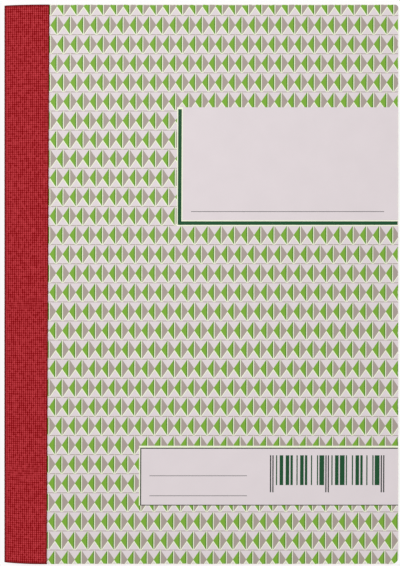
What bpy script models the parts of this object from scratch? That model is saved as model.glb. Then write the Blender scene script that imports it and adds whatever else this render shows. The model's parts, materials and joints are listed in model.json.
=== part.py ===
"""Side-stitched carbonless book: fifty three-part sets between covers, under a cloth spine tape.

The closed book lies on its back cover. X runs from the spine to the fore edge, Y from the foot to
the head, Z up out of the front cover, and the origin is under the middle of the book. Lengths are
in metres. The leaves are bound along a strip beside the spine, where two wire staples squeeze them
together under the tape. The covers and the leaves of the top set turn on the edge of that strip.
"""

import math

import bmesh
import bpy
from mathutils import Matrix, Vector

# Trimmed book
BOOK_WIDTH = 0.148
BOOK_LENGTH = 0.210
HEAD_CORNER_RADIUS = 0.0015
FOOT_CORNER_RADIUS = 0.0028

# Paper and board
SET_COUNT = 50
LEAVES_PER_SET = 3
LEAF_THICKNESS = 0.000055
LEAF_GAP = 0.00002
FRONT_COVER_THICKNESS = 0.00035
BACK_COVER_THICKNESS = 0.0007
COVER_GAP = 0.00005

# Sets below the top one that are solids of their own; the rest of the block is one more
SINGLE_LOWER_SETS = 47

# Loose writing shield under the top set
SHIELD_THICKNESS = 0.0004
SHIELD_FORE_INSET = 0.0010
SHIELD_INNER_INSET = 0.0005
SHIELD_END_INSET = 0.0015

# Cloth tape round the spine
TAPE_THICKNESS = 0.00028
TAPE_LAP = 0.0164
TAPE_SINK = 0.00002
GLUE_GAP = 0.00005

# How the stitching squeezes the bound strip
SPINE_SQUEEZE = 0.00055
SPINE_ROUNDING = 0.0009
LEAF_SLOPE_RUN = 0.0040

# Wire staples through the bound strip
WIRE_DIAMETER = 0.0005
WIRE_BEND_RADIUS = 0.00035
WIRE_SINK = 0.00002
WIRE_CLEARANCE = 0.00004
CROWN_LENGTH = 0.0120
CLINCH_LENGTH = 0.0045
STAPLE_SPACING = 0.105
STAPLE_FROM_SPINE = 0.0075

# Turning covers and leaves
HINGE_CLEARANCE = 0.00015
HINGE_RISE = 0.0001

# Tear line of the white and yellow leaves
PERFORATION_FROM_HINGE = 0.0050
PERFORATION_CUT = 0.0021
PERFORATION_TIE = 0.0009
PERFORATION_WIDTH = 0.0002

# Facets
COVER_CORNER_STEPS = 6
LEAF_CORNER_STEPS = 3
TAPE_CORNER_STEPS = 6
WIRE_BEND_STEPS = 3

# Places along X
SPINE_X = -BOOK_WIDTH / 2
FORE_X = BOOK_WIDTH / 2
BLOCK_SPINE_X = SPINE_X + TAPE_THICKNESS + GLUE_GAP
TAPE_EDGE_X = SPINE_X + TAPE_LAP
SLOPE_END_X = TAPE_EDGE_X + LEAF_SLOPE_RUN
HINGE_X = TAPE_EDGE_X + HINGE_CLEARANCE
TURNING_X = HINGE_X + HINGE_CLEARANCE
STAPLE_X = SPINE_X + STAPLE_FROM_SPINE

# Heights in the loose part of the book, from the back cover up
LEAF_PITCH = LEAF_THICKNESS + LEAF_GAP
SET_PITCH = LEAVES_PER_SET * LEAF_PITCH
BLOCK_BOTTOM = BACK_COVER_THICKNESS + COVER_GAP
SHIELD_BOTTOM = BLOCK_BOTTOM + (SET_COUNT - 1) * SET_PITCH
TOP_SET_BOTTOM = SHIELD_BOTTOM + SHIELD_THICKNESS + LEAF_GAP
FRONT_COVER_BOTTOM = TOP_SET_BOTTOM + SET_PITCH
BOOK_THICKNESS = FRONT_COVER_BOTTOM + FRONT_COVER_THICKNESS

# The bound strip has no shield in it, and the tape lies on it
SHIELD_STEP = TOP_SET_BOTTOM - SHIELD_BOTTOM
BOUND_HEIGHT = BOOK_THICKNESS - SHIELD_STEP
HALF_AT_TAPE_EDGE = BOOK_THICKNESS / 2 - TAPE_SINK - TAPE_THICKNESS - GLUE_GAP
HALF_AT_SPINE = HALF_AT_TAPE_EDGE - SPINE_SQUEEZE
SQUEEZE_SLOPE = math.atan2(SPINE_SQUEEZE, TAPE_EDGE_X - BLOCK_SPINE_X)

# Hinge lines of the two covers
FRONT_HINGE_Z = BOOK_THICKNESS + HINGE_RISE
BACK_HINGE_Z = -HINGE_RISE


def clear_scene():
    """Remove what the scene holds, so that the book stands alone."""
    for scene_object in list(bpy.data.objects):
        bpy.data.objects.remove(scene_object, do_unlink=True)


def material(name, colour, roughness, metallic=0.0):
    """Plain surface with the colour of its piece."""
    surface = bpy.data.materials.get(name)
    if surface is None:
        surface = bpy.data.materials.new(name)
        surface.use_nodes = True
        shader = surface.node_tree.nodes["Principled BSDF"]
        shader.inputs["Base Color"].default_value = (*colour, 1.0)
        shader.inputs["Roughness"].default_value = roughness
        shader.inputs["Metallic"].default_value = metallic
        surface.diffuse_color = (*colour, 1.0)
    return surface


def printed_card():
    return material("printed_card", (0.46, 0.52, 0.36), 0.45)


def grey_board():
    return material("grey_board", (0.36, 0.34, 0.31), 0.85)


def plain_card():
    return material("plain_card", (0.62, 0.58, 0.50), 0.80)


def red_book_cloth():
    return material("red_book_cloth", (0.36, 0.02, 0.025), 0.75)


def staple_wire():
    return material("staple_wire", (0.62, 0.62, 0.60), 0.30, 1.0)


def white_paper():
    return material("white_paper", (0.86, 0.86, 0.84), 0.80)


def yellow_paper():
    return material("yellow_paper", (0.87, 0.76, 0.28), 0.80)


def pink_paper():
    return material("pink_paper", (0.86, 0.48, 0.52), 0.80)


def layered_paper():
    return material("layered_paper", (0.84, 0.70, 0.58), 0.85)


def link_object(name, data, surface):
    """Put a new object with its surface into the scene."""
    data.materials.append(surface)
    new_object = bpy.data.objects.new(name, data)
    bpy.context.scene.collection.objects.link(new_object)
    return new_object


def move_origin(piece, x, y, z):
    """Put the object's origin at a point and leave its shape where it is."""
    place = Vector((x, y, z))
    piece.data.transform(Matrix.Translation(-place))
    piece.location = place


def shade_round(mesh):
    """Smooth shading that keeps the real edges sharp."""
    mesh.shade_smooth()
    mesh.set_sharp_from_angle(angle=math.radians(35))


def arc(centre_a, centre_b, radius, start_degrees, end_degrees, steps):
    """Points along an arc, its two ends included."""
    points = []
    for step in range(steps + 1):
        turn = math.radians(start_degrees + (end_degrees - start_degrees) * step / steps)
        points.append((centre_a + radius * math.cos(turn), centre_b + radius * math.sin(turn)))
    return points


def free_end(inner_x, outer_x, end_inset, corner_steps):
    """Outline of a sheet's free end, from its inner foot corner round to its inner head corner."""
    foot_y = -BOOK_LENGTH / 2 + end_inset
    head_y = BOOK_LENGTH / 2 - end_inset
    points = [(inner_x, foot_y)]
    points += arc(outer_x - FOOT_CORNER_RADIUS, foot_y + FOOT_CORNER_RADIUS,
                  FOOT_CORNER_RADIUS, -90, 0, corner_steps)
    points += arc(outer_x - HEAD_CORNER_RADIUS, head_y - HEAD_CORNER_RADIUS,
                  HEAD_CORNER_RADIUS, 0, 90, corner_steps)
    points.append((inner_x, head_y))
    return points


def band(start_x, end_x):
    """Outline of a plain strip as long as the book."""
    half = BOOK_LENGTH / 2
    return [(start_x, -half), (end_x, -half), (end_x, half), (start_x, half)]


def thick_sheet(name, outlines, height_below, height_above, surface):
    """Solid sheet over adjoining outlines, with the heights of both faces as functions of x."""
    shape = bmesh.new()
    corners = {}
    faces = []
    for outline in outlines:
        ring = []
        for x, y in outline:
            key = (round(x, 7), round(y, 7))
            if key not in corners:
                corners[key] = shape.verts.new((x, y, 0.0))
            ring.append(corners[key])
        faces.append(shape.faces.new(ring))
    lower_corners = list(shape.verts)
    raised = bmesh.ops.extrude_face_region(shape, geom=faces)
    upper_corners = [item for item in raised["geom"] if isinstance(item, bmesh.types.BMVert)]
    for corner in lower_corners:
        corner.co.z = height_below(corner.co.x)
    for corner in upper_corners:
        corner.co.z = height_above(corner.co.x)
    bmesh.ops.recalc_face_normals(shape, faces=shape.faces)
    mesh = bpy.data.meshes.new(name)
    shape.to_mesh(mesh)
    shape.free()
    return link_object(name, mesh, surface)


def half_height(x):
    """Half the height of the bound strip, which narrows towards the spine."""
    share = (x - BLOCK_SPINE_X) / (TAPE_EDGE_X - BLOCK_SPINE_X)
    return HALF_AT_SPINE + share * (HALF_AT_TAPE_EDGE - HALF_AT_SPINE)


def bound_height(level, x):
    """Height of a level of the stack where the stitching squeezes it."""
    return BOOK_THICKNESS / 2 + (2 * level / BOUND_HEIGHT - 1) * half_height(x)


def block_height(level, x):
    """Height of a level in a sheet that runs from the spine to the fore edge."""
    if x < TAPE_EDGE_X + LEAF_SLOPE_RUN / 2:
        return bound_height(level, x)
    return level


def rounding_centre():
    """Centre of the round that the upper edge of the bound strip has at the spine."""
    centre_x = BLOCK_SPINE_X + SPINE_ROUNDING
    top = BOOK_THICKNESS / 2 + half_height(centre_x)
    return centre_x, top - SPINE_ROUNDING / math.cos(SQUEEZE_SLOPE)


def spine_end(bottom, top):
    """Where a layer between two levels ends at the spine, inside the strip's rounded edges."""
    centre_x, centre_z = rounding_centre()
    middle = BOOK_THICKNESS / 2
    highest = abs(bound_height(top, centre_x) - middle)
    lowest = abs(bound_height(bottom, centre_x) - middle)
    rise = max(highest, lowest) - (centre_z - middle)
    if rise <= 0:
        return BLOCK_SPINE_X
    inside = max(SPINE_ROUNDING ** 2 - rise ** 2, 0.0)
    return centre_x - math.sqrt(inside)


def block_sheet(name, bottom, top, surface):
    """Layer of the block, bound at the spine and flat from the slope to the fore edge."""
    outlines = [
        band(spine_end(bottom, top), TAPE_EDGE_X),
        band(TAPE_EDGE_X, SLOPE_END_X),
        free_end(SLOPE_END_X, FORE_X, 0.0, LEAF_CORNER_STEPS),
    ]
    return thick_sheet(name, outlines, lambda x: block_height(bottom, x),
                       lambda x: block_height(top, x), surface)


def bound_strip(name, bottom, top, surface):
    """Part of a cover or leaf that lies under the tape."""
    outlines = [band(spine_end(bottom, top), TAPE_EDGE_X)]
    return thick_sheet(name, outlines, lambda x: bound_height(bottom, x),
                       lambda x: bound_height(top, x), surface)


def turning_sheet(name, bottom, thickness, hinge_z, corner_steps, surface):
    """Flat cover or leaf beside the tape, with its origin on the line that it turns about."""
    outlines = [free_end(TURNING_X, FORE_X, 0.0, corner_steps)]
    sheet = thick_sheet(name, outlines, lambda x: bottom, lambda x: bottom + thickness, surface)
    move_origin(sheet, HINGE_X, 0.0, hinge_z)
    return sheet


def perforation_ends():
    """Ends along Y of the cuts in a tear line, with equal ties left at the head and the foot."""
    step = PERFORATION_CUT + PERFORATION_TIE
    cuts = int((BOOK_LENGTH - PERFORATION_TIE) / step)
    first = -(cuts * step - PERFORATION_TIE) / 2
    ends = []
    for cut in range(cuts):
        ends.append(first + cut * step)
        ends.append(first + cut * step + PERFORATION_CUT)
    return ends


def perforated_leaf(name, bottom, surface):
    """Turning leaf with a row of cuts along its tear line and paper ties between them."""
    near_x = HINGE_X + PERFORATION_FROM_HINGE - PERFORATION_WIDTH / 2
    far_x = near_x + PERFORATION_WIDTH
    half = BOOK_LENGTH / 2
    ends = perforation_ends()
    near_side = [(TURNING_X, half), (TURNING_X, -half), (near_x, -half)]
    near_side += [(near_x, y) for y in ends]
    near_side.append((near_x, half))
    far_side = free_end(far_x, FORE_X, 0.0, LEAF_CORNER_STEPS)
    far_side += [(far_x, y) for y in reversed(ends)]
    outlines = [near_side, far_side]
    tie_ends = [-half, *ends, half]
    for start, end in zip(tie_ends[0::2], tie_ends[1::2]):
        outlines.append([(near_x, start), (far_x, start), (far_x, end), (near_x, end)])
    leaf = thick_sheet(name, outlines, lambda x: bottom, lambda x: bottom + LEAF_THICKNESS, surface)
    move_origin(leaf, HINGE_X, 0.0, FRONT_HINGE_Z)
    return leaf


def staple_heights():
    """Heights of the crown's and the clinched ends' centre lines."""
    sunk = half_height(STAPLE_X) - WIRE_SINK - WIRE_DIAMETER / 2
    return BOOK_THICKNESS / 2 + sunk, BOOK_THICKNESS / 2 - sunk


def hide_as_cutter(cutter):
    """Show a cutter as wire only, because it is not a piece of the book."""
    cutter.display_type = "WIRE"
    cutter.hide_render = True
    return cutter


def leg_hole_cutter():
    """Six-sided posts that clear the four legs of the staples."""
    radius = (WIRE_DIAMETER / 2 + WIRE_CLEARANCE) / math.cos(math.pi / 6)
    shape = bmesh.new()
    for staple_y in (-STAPLE_SPACING / 2, STAPLE_SPACING / 2):
        for leg_y in (staple_y - CROWN_LENGTH / 2, staple_y + CROWN_LENGTH / 2):
            place = Matrix.Translation((STAPLE_X, leg_y, BOOK_THICKNESS / 2))
            bmesh.ops.create_cone(shape, cap_ends=True, segments=6, radius1=radius,
                                  radius2=radius, depth=2 * BOOK_THICKNESS, matrix=place)
    mesh = bpy.data.meshes.new("leg_hole_cutter")
    shape.to_mesh(mesh)
    shape.free()
    return hide_as_cutter(link_object("leg_hole_cutter", mesh, grey_board()))


def wire_seat_cutter(name, wire_z, outwards):
    """Two slots that the wire lies in, open to the outside of the bound strip."""
    width = WIRE_DIAMETER + 2 * WIRE_CLEARANCE
    length = CROWN_LENGTH + width
    reach = 4 * WIRE_DIAMETER
    inner_z = wire_z - outwards * width / 2
    shape = bmesh.new()
    for staple_y in (-STAPLE_SPACING / 2, STAPLE_SPACING / 2):
        place = Matrix.Translation((STAPLE_X, staple_y, inner_z + outwards * reach / 2))
        place = place @ Matrix.Diagonal((width, length, reach, 1.0))
        bmesh.ops.create_cube(shape, size=1.0, matrix=place)
    mesh = bpy.data.meshes.new(name)
    shape.to_mesh(mesh)
    shape.free()
    return hide_as_cutter(link_object(name, mesh, grey_board()))


def cut_out(piece, cutter):
    """Take a cutter's shape out of a piece."""
    cut = piece.modifiers.new(cutter.name, "BOOLEAN")
    cut.operation = "DIFFERENCE"
    cut.solver = "EXACT"
    cut.object = cutter


def staple(name, staple_y):
    """Wire staple: crown under the front of the tape, two legs, and ends clinched at the back."""
    crown_z, clinch_z = staple_heights()
    side = CROWN_LENGTH / 2
    bend = WIRE_BEND_RADIUS
    path = [(CLINCH_LENGTH - side, clinch_z)]
    path += arc(bend - side, clinch_z + bend, bend, 270, 180, WIRE_BEND_STEPS)
    path += arc(bend - side, crown_z - bend, bend, 180, 90, WIRE_BEND_STEPS)
    path += arc(side - bend, crown_z - bend, bend, 90, 0, WIRE_BEND_STEPS)
    path += arc(side - bend, clinch_z + bend, bend, 0, -90, WIRE_BEND_STEPS)
    path.append((side - CLINCH_LENGTH, clinch_z))
    wire = bpy.data.curves.new(name, "CURVE")
    wire.dimensions = "3D"
    wire.bevel_depth = WIRE_DIAMETER / 2
    wire.bevel_resolution = 2
    wire.use_fill_caps = True
    spline = wire.splines.new("POLY")
    spline.points.add(len(path) - 1)
    for point, (y, z) in zip(spline.points, path):
        point.co = (0.0, y, z, 1.0)
    spline.use_smooth = True
    piece = link_object(name, wire, staple_wire())
    piece.location = (STAPLE_X, staple_y, 0.0)
    return piece


def tape_path(distance):
    """Points of the tape's cross-section at a distance outside the bound strip."""
    centre_x, centre_z = rounding_centre()
    edge_z = BOOK_THICKNESS / 2 + HALF_AT_TAPE_EDGE + distance / math.cos(SQUEEZE_SLOPE)
    upper = [(TAPE_EDGE_X, edge_z)]
    upper += arc(centre_x, centre_z, SPINE_ROUNDING + distance,
                 90 + math.degrees(SQUEEZE_SLOPE), 180, TAPE_CORNER_STEPS)
    lower = [(x, BOOK_THICKNESS - z) for x, z in reversed(upper)]
    return upper + lower


def spine_tape():
    """Cloth tape from the front cover round the spine to the back cover."""
    outside = tape_path(GLUE_GAP + TAPE_THICKNESS)
    inside = tape_path(GLUE_GAP)
    section = outside + list(reversed(inside))
    shape = bmesh.new()
    ring = [shape.verts.new((x, -BOOK_LENGTH / 2, z)) for x, z in section]
    end_face = shape.faces.new(ring)
    pulled = bmesh.ops.extrude_face_region(shape, geom=[end_face])
    far_ring = [item for item in pulled["geom"] if isinstance(item, bmesh.types.BMVert)]
    bmesh.ops.translate(shape, verts=far_ring, vec=(0.0, BOOK_LENGTH, 0.0))
    bmesh.ops.recalc_face_normals(shape, faces=shape.faces)
    mesh = bpy.data.meshes.new("spine_tape")
    shape.to_mesh(mesh)
    shape.free()
    shade_round(mesh)
    return link_object("spine_tape", mesh, red_book_cloth())


def covers():
    """Front card and back board, each with its turning part and its part under the tape."""
    turning_sheet("front_cover", FRONT_COVER_BOTTOM, FRONT_COVER_THICKNESS, FRONT_HINGE_Z,
                  COVER_CORNER_STEPS, printed_card())
    turning_sheet("back_cover", 0.0, BACK_COVER_THICKNESS, BACK_HINGE_Z,
                  COVER_CORNER_STEPS, grey_board())
    front_strip = bound_strip("front_cover_bound_strip", FRONT_COVER_BOTTOM - SHIELD_STEP,
                              BOUND_HEIGHT, printed_card())
    back_strip = bound_strip("back_cover_bound_strip", 0.0, BACK_COVER_THICKNESS, grey_board())
    return front_strip, back_strip


def top_set():
    """The three leaves that are written on first, and the strip of them that stays bound."""
    perforated_leaf("set_01_white_leaf", TOP_SET_BOTTOM + 2 * LEAF_PITCH, white_paper())
    perforated_leaf("set_01_yellow_leaf", TOP_SET_BOTTOM + LEAF_PITCH, yellow_paper())
    turning_sheet("set_01_pink_leaf", TOP_SET_BOTTOM, LEAF_THICKNESS, FRONT_HINGE_Z,
                  LEAF_CORNER_STEPS, pink_paper())
    bottom = TOP_SET_BOTTOM - SHIELD_STEP
    return bound_strip("set_01_bound_strip", bottom, bottom + SET_PITCH - LEAF_GAP,
                       layered_paper())


def lower_sets():
    """Sets under the shield, from the second one down, and the pack at the bottom of the block."""
    singles = min(SINGLE_LOWER_SETS, SET_COUNT - 2)
    sheets = []
    top = SHIELD_BOTTOM - LEAF_GAP
    for number in range(2, singles + 2):
        bottom = top + LEAF_GAP - SET_PITCH
        sheets.append(block_sheet(f"set_{number:02d}", bottom, top, layered_paper()))
        top -= SET_PITCH
    sheets.append(block_sheet("lowest_sets", BLOCK_BOTTOM, top, layered_paper()))
    return sheets


def writing_shield():
    """Loose card that keeps the writing off the sets below."""
    inner_x = SLOPE_END_X + SHIELD_INNER_INSET
    outer_x = FORE_X - SHIELD_FORE_INSET
    outlines = [free_end(inner_x, outer_x, SHIELD_END_INSET, COVER_CORNER_STEPS)]
    top = SHIELD_BOTTOM + SHIELD_THICKNESS
    card = thick_sheet("writing_shield", outlines, lambda x: SHIELD_BOTTOM, lambda x: top,
                       plain_card())
    move_origin(card, (inner_x + outer_x) / 2, 0.0, SHIELD_BOTTOM)
    return card


def stitching(front_strip, back_strip, top_strip, sheets):
    """Two staples, with their holes and wire seats in everything that they hold."""
    staple("head_staple", STAPLE_SPACING / 2)
    staple("foot_staple", -STAPLE_SPACING / 2)
    crown_z, clinch_z = staple_heights()
    leg_holes = leg_hole_cutter()
    crown_seats = wire_seat_cutter("crown_seat_cutter", crown_z, 1)
    clinch_seats = wire_seat_cutter("clinch_seat_cutter", clinch_z, -1)
    for piece in (front_strip, back_strip, top_strip, *sheets):
        cut_out(piece, leg_holes)
    for piece in (front_strip, top_strip, sheets[0], sheets[1]):
        cut_out(piece, crown_seats)
    for piece in (back_strip, sheets[-1]):
        cut_out(piece, clinch_seats)


def build_book():
    clear_scene()
    front_strip, back_strip = covers()
    top_strip = top_set()
    sheets = lower_sets()
    writing_shield()
    spine_tape()
    stitching(front_strip, back_strip, top_strip, sheets)


build_book()
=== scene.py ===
"""Looks of the side-stitched carbonless book: printed card, grey board, cloth tape and leaves.

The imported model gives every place. The closed book lies on its back cover, with X from the spine to
the fore edge, Y from the foot to the head and Z up. Lengths are in metres, and a print or a weave is
laid out in millimetres from the middle of the book. Each sheet carries its own flat place as a UV
map, so its print stays on it when the sheet turns.
"""

import json
import math
import random
from functools import partial

import bmesh
import bpy
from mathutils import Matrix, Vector, noise


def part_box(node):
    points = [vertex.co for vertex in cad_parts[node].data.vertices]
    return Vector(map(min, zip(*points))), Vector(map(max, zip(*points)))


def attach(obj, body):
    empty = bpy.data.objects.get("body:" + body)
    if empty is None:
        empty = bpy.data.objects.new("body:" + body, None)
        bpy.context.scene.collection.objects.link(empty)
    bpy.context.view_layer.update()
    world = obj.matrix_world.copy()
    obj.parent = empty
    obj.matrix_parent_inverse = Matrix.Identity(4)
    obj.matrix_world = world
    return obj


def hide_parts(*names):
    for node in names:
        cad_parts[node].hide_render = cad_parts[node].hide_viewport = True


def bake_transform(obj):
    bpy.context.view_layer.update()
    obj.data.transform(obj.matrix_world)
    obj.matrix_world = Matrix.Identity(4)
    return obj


bl_info = {
    "name": "Carbonless Copy Book",
    "version": (1, 0, 0),
    "blender": (4, 5, 0),
    "location": "View3D > Sidebar > Copy Book",
    "description": "Covers, leaves, staples and cloth tape of a side-stitched copy book",
    "category": "Object",
}

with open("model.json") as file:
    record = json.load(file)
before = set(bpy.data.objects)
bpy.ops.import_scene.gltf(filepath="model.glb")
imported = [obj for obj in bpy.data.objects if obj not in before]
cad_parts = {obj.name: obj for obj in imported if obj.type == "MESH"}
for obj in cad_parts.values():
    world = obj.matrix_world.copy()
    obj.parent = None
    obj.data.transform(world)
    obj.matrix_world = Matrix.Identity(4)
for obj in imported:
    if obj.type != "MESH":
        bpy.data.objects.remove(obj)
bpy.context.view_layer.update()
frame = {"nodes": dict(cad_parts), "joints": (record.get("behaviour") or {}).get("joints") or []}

MM = 0.001

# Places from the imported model
TAPE_LOW, TAPE_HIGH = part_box("spine_tape")
COVER_LOW, COVER_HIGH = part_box("front_cover")
BOARD_LOW, BOARD_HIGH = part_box("back_cover")
WHITE_LOW, WHITE_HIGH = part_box("set_01_white_leaf")
YELLOW_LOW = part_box("set_01_yellow_leaf")[0]
PINK_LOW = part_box("set_01_pink_leaf")[0]
SHIELD_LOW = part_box("writing_shield")[0]
TAPE_EDGE_X = TAPE_HIGH.x
FORE_X = COVER_HIGH.x
FOOT_Y = COVER_LOW.y
HEAD_Y = COVER_HIGH.y
BOOK_LENGTH = HEAD_Y - FOOT_Y
BLOCK_SPINE_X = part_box("set_25")[0].x
BLOCK_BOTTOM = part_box("lowest_sets")[0].z
LOWER_SET_NODES = sorted(name for name in frame["nodes"] if name.startswith("set_")
                         and not name.startswith("set_01")) + ["lowest_sets"]

# Layers of the stack
LEAF_THICKNESS = WHITE_HIGH.z - WHITE_LOW.z
LEAF_PITCH = WHITE_LOW.z - YELLOW_LOW.z
SET_PITCH = 3 * LEAF_PITCH
LEAF_GAP = LEAF_PITCH - LEAF_THICKNESS
LOWER_SET_COUNT = round((SHIELD_LOW.z - BLOCK_BOTTOM) / SET_PITCH)
SHIELD_STEP = PINK_LOW.z - SHIELD_LOW.z
BOUND_HEIGHT = COVER_HIGH.z - SHIELD_STEP

# Leaves that lie pressed together under the shield fill their pitch but for a hair
PRESSED_THICKNESS = LEAF_PITCH - 0.004 * MM

# How the stitching squeezes the bound strip
MIDDLE_Z = (TAPE_LOW.z + TAPE_HIGH.z) / 2
SPINE_SQUEEZE = 0.55 * MM
SPINE_ROUNDING = 0.9 * MM
HALF_AT_TAPE_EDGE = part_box("front_cover_bound_strip")[1].z - MIDDLE_Z
HALF_AT_SPINE = HALF_AT_TAPE_EDGE - SPINE_SQUEEZE
SQUEEZE_SLOPE = math.atan2(SPINE_SQUEEZE, TAPE_EDGE_X - BLOCK_SPINE_X)

# Centre of the round that the upper edge of the bound strip has at the spine
ROUNDING_X = BLOCK_SPINE_X + SPINE_ROUNDING
ROUNDING_Z = (MIDDLE_Z + HALF_AT_SPINE + SPINE_ROUNDING * math.tan(SQUEEZE_SLOPE)
              - SPINE_ROUNDING / math.cos(SQUEEZE_SLOPE))

# Corners at the fore edge
HEAD_CORNER = 1.5 * MM
FOOT_CORNER = 2.8 * MM

# Where the sheets rise beside the tape, and where they bend when they turn
RISE_START_X = TAPE_EDGE_X + 0.2 * MM
RISE_RUN = 1.9 * MM
BEND_START_X = TAPE_EDGE_X + 0.6 * MM
BEND_END_X = TAPE_EDGE_X + 2.7 * MM
BEND_STEP = 0.15 * MM

# How the trimmed head and foot pull in towards the spine
PULL_COLUMNS = (1.5 * MM, 3.5 * MM, 6.0 * MM, 9.5 * MM)
PULL_REACH = 13.0 * MM
HEAD_PULL = 0.32 * MM
FOOT_PULL = 0.65 * MM

# How unevenly the lower leaves are trimmed at most, in millimetres, and how near the spine a point
# is an end of a leaf
FORE_TRIM, END_TRIM = 0.10, 0.12
TRIM_SEED = 7
SPINE_REACH = 0.2 * MM

# Cloth tape
TAPE_THICKNESS = 0.28 * MM
GLUE_GAP = 0.05 * MM
TAPE_SHIFT = 0.15 * MM
TAPE_SKEW = 0.5 * MM

# How far the threads wander from their even places, how long their waves are across and along the
# tape for the warp and for the weft, and the run beside the cut edges where they don't
THREAD_WANDER = 0.10 * MM
WARP_WAVES = (1.6 * MM, 30 * MM)
WEFT_WAVES = (12 * MM, 1.8 * MM)
EDGE_HOLD = 2 * MM

# The threads don't follow the askew front edge evenly: they run straight down from the head, then
# step aside twice, at these heights and over these runs, and follow the edge only near it
THREAD_SHIFT = 0.70 * MM
THREAD_STEP = 0.375 * MM
THREAD_STEPS = ((0.5 * MM, 14 * MM), (-58 * MM, 20 * MM))
EDGE_RUN = 4 * MM

# Shares of the warp and the weft in the threads' crests, and of the crests and the crossings in the
# relief of the weave
WARP_CREST, WEFT_CREST = 0.62, 0.38
CREST_RELIEF, CROSSING_RELIEF = 0.8, 0.3
YARN_DEPTH = 0.03 * MM

# Lengths along half of the tape's outer side: straight, round and flat at the spine
TAPE_RADIUS = SPINE_ROUNDING + GLUE_GAP + TAPE_THICKNESS
TAPE_STRAIGHT = ((TAPE_EDGE_X - ROUNDING_X + TAPE_RADIUS * math.sin(SQUEEZE_SLOPE))
                 / math.cos(SQUEEZE_SLOPE))
TAPE_ROUND = TAPE_RADIUS * (math.pi / 2 - SQUEEZE_SLOPE)
TAPE_FLAT = ROUNDING_Z - MIDDLE_Z
TAPE_GIRTH = 2 * (TAPE_STRAIGHT + TAPE_ROUND + TAPE_FLAT)

# Share of the threads' pale red, a painted highlight on their crests, on a warp thread, on a weft
# thread and where they cross, and how far slubs in the yarn and the dye of one crossing move it
WARP_SHARE, WEFT_SHARE, CROSSING_SHARE = 0.25, 0.02, 0.73
SLUB_SWAY, KNOT_SWAY = 0.24, 0.17

# Reach of the dark lines along the tape's sides, ends and folds in millimetres, and the most that
# they take of the edges' red. Along the cut sides and ends they are partly glue-darkened cut edges
# and partly painted shade, and along the folds painted shade where the cloth turns away from the
# light
SIDE_SHADE, END_SHADE, FOLD_SHADE = (0.8, 0.75), (1.1, 1.0), (1.2, 1.7)

# Place of a fold on the round of the tape, the millimetres from it between which the evening out
# fades, and how far the weave's painted highlight and shade are evened out under the painted fold
# shade
FOLD_PLACE = 0.75
FOLD_EVENING_REACH = (0.9, 1.7)
FOLD_EVENING_SHARE = 0.6

# Printed boxes on the front cover: left, right, bottom and top in millimetres, and their ink. They
# bleed off past the trimmed edge
PANEL_LEFT, PANEL_BOTTOM, PANEL_TOP = -8.9, 22.3, 66.4
LABEL_LEFT, LABEL_BOTTOM, LABEL_TOP = -22.6, -82.95, -61.25
BLEED = 80.0
FRAME_LINE = 1.35
FRAME_DROP = 0.7
KEYLINE = 0.4
LABEL_MARGIN = 0.7
HAIRLINE = 0.42
FOOT_RULE = 0.30
PRINTED_BOXES = (
    ((PANEL_LEFT - KEYLINE, BLEED, PANEL_BOTTOM - KEYLINE, PANEL_TOP), "cream"),
    ((PANEL_LEFT, BLEED, PANEL_BOTTOM, PANEL_TOP - FRAME_DROP), "dark_green"),
    ((PANEL_LEFT + FRAME_LINE, BLEED, PANEL_BOTTOM + FRAME_LINE, PANEL_TOP), "cream"),
    ((PANEL_LEFT + FRAME_LINE + KEYLINE, BLEED, PANEL_BOTTOM + FRAME_LINE + KEYLINE, PANEL_TOP),
     "ground"),
    ((LABEL_LEFT - KEYLINE, BLEED, LABEL_BOTTOM, LABEL_TOP + LABEL_MARGIN), "cream"),
    ((LABEL_LEFT, BLEED, LABEL_BOTTOM, LABEL_TOP), "black"),
    ((LABEL_LEFT + HAIRLINE, BLEED, LABEL_BOTTOM + FOOT_RULE, LABEL_TOP - HAIRLINE), "ground"),
)

# Share of a row by which the rows are shifted, so that no thin sliver of a row is left at the head,
# how far a lozenge spreads past its place, as ink does, where the green overprints the grey, in
# register lines from the seam, and how far the print leans on the trimmed card, as does the front
# edge of the tape
PRINT_SHIFT = 0.42
LOZENGE_REACH = 1.03
OVERPRINT = (0.5, 2.0)
PRINT_LEAN = 0.0044

# Levels of the noise between which the ink along a trimmed edge is rubbed off more and more, the
# least and most width of that line in millimetres, and the drift of the whole print's tone
WORN_NOISE = (0.35, 0.75)
WORN_WIDTH = (0.08, 0.4)
PRINT_TONE = (0.96, 1.03)

# Plain rules to write on: left, right and bottom in millimetres
WRITING_RULES = ((-3.9, 68.5, 27.2), (-19.1, 17.5, -71.9), (-19.1, 17.5, -79.4))
WRITING_RULE_WIDTH = 0.2

# Bars that stand for nothing, in modules of one width: where they lie, the modules of the longer
# bars, the first and last modules of the two fields between them, and what sets the fields' rhythm
BARS_LEFT, BARS_BOTTOM, BARS_TOP = 26.1, -75.3, -64.1
LONG_BARS_BOTTOM = -78.0
BAR_MODULE = 0.4516
LONG_BARS = (0, 2, 46, 48, 92, 94)
BAR_FIELDS = ((4, 45), (51, 91))
BAR_STEP, BAR_SWAY, BAR_TURN = 0.24, 0.2, 1.1

# Ruled field of a leaf in millimetres, with a rule as wide as it needs to be to show
RULED_LEFT, RULED_RIGHT, RULED_END = -50.05, 70.05, 100.05
RULE_WIDTH = 0.22

# Share of white in the cut edge of a leaf, a painted light that makes the dimly lit edges of the
# stack paler
CUT_EDGE_PAINTED_LIGHT = 0.25

# Tear line of the white and yellow leaves
HINGE_X = frame["joints"][0]["pos_m"][0]
PERFORATION_X = HINGE_X + 5.0 * MM
PERFORATION_END = 0.9 * MM
SLIT_LENGTH = 2.1 * MM
SLIT_STEP = 3.0 * MM
SLIT_WIDTH = 0.2 * MM

# Share of plain white in what the eye sees of the floor, so that the shadow stays faint, and a gap
# under the book that keeps the two surfaces apart
FLOOR_GLOW = 0.85
FLOOR_GAP = 0.03 * MM

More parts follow.
